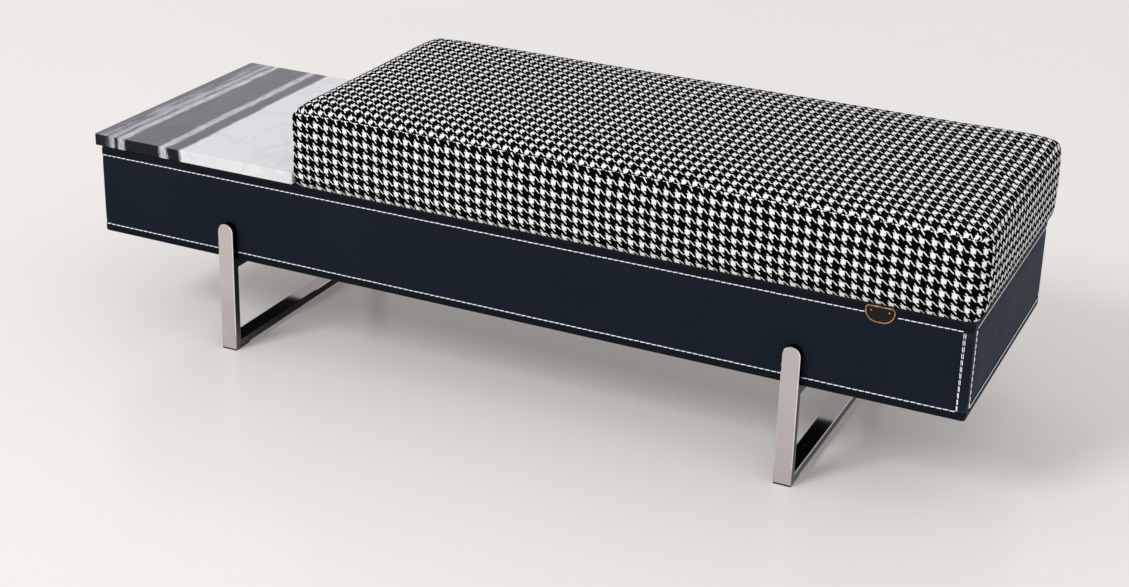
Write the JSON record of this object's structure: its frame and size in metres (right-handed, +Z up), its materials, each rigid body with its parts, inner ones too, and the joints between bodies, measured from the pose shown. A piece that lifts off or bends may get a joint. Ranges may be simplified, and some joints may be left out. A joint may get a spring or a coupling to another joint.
{
  "type": "upholstered bench",
  "caption": "Long low bench: a stitched leather box on flat-bar sled legs, with a loose houndstooth cushion and a loose banded stone slab at one end.",
  "frame": {"origin": "on the floor under the middle of the bench, at the centre of its bounding box", "axes": "+X along the bench from the stone slab to the cushion end, +Y from front to back, +Z up"},
  "size_m": [1.5, 0.488, 0.45],
  "materials": {
    "plywood": "bare plywood",
    "timber": "planed softwood",
    "screw_steel": "zinc plated",
    "insert_brass": "turned",
    "padding_foam": "thin foam sheet",
    "leather": "dark navy, fine grain, soft sheen",
    "thread": "pale waxed thread",
    "lining_cloth": "black non-woven cloth",
    "grip_strip": "hook and loop strip",
    "polished_steel": "polished flat bar",
    "glide": "matt",
    "badge_enamel": "dark enamel, bare",
    "badge_copper": "copper coloured",
    "stone": "polished, dark and light bands",
    "bumper": "clear soft bumper",
    "houndstooth": "black and white woven houndstooth",
    "cushion_foam": "upholstery foam"
  },
  "bodies": {
    "base": {"badge_plate": "badge_enamel", "badge_rim": "badge_copper", "badge_rivets": "badge_copper", "centre_rib": "plywood", "corner_blocks": "timber", "deck_board": "plywood", "deck_grip_strips": "grip_strip", "deck_lining": "lining_cloth", "deck_screws": "screw_steel", "dust_cover": "lining_cloth", "frame_screws": "screw_steel", "front_rail": "plywood", "glide_pads": "glide", "leather_bottom_border": "leather", "leather_corner_front_right": "leather", "leather_corner_rear_left": "leather", "leather_front_left": "leather", "leather_rear_right": "leather", "leather_top_border": "leather", "left_end_board": "plywood", "left_floor_bar": "polished_steel", "left_front_upright": "polished_steel", "left_leg_bearer": "timber", "left_rear_upright": "polished_steel", "left_top_bar": "polished_steel", "leg_inserts": "insert_brass", "leg_screws": "screw_steel", "padding_wrap": "padding_foam", "rear_rail": "plywood", "right_end_board": "plywood", "right_floor_bar": "polished_steel", "right_front_upright": "polished_steel", "right_leg_bearer": "timber", "right_rear_upright": "polished_steel", "right_top_bar": "polished_steel", "stitching": "thread", "upright_bolts": "screw_steel", "upright_washers": "screw_steel"},
    "slab": {"stone_slab": "stone", "slab_pads": "bumper"},
    "cushion": {"cushion_board": "plywood", "cushion_bottom_cloth": "lining_cloth", "cushion_foam": "cushion_foam", "cushion_front_band": "houndstooth", "cushion_grip_strips": "grip_strip", "cushion_left_band": "houndstooth", "cushion_rear_band": "houndstooth", "cushion_right_band": "houndstooth", "cushion_top_panel": "houndstooth", "cushion_topper": "cushion_foam"}
  },
  "joints": [
    {"name": "cushion_lift", "type": "slide", "parent": "base", "child": "cushion", "axis": [0, 0, 1], "range_m": [0, 0.2]},
    {"name": "slab_lift", "type": "slide", "parent": "base", "child": "slab", "axis": [0, 0, 1], "range_m": [0, 0.2]}
  ]
}
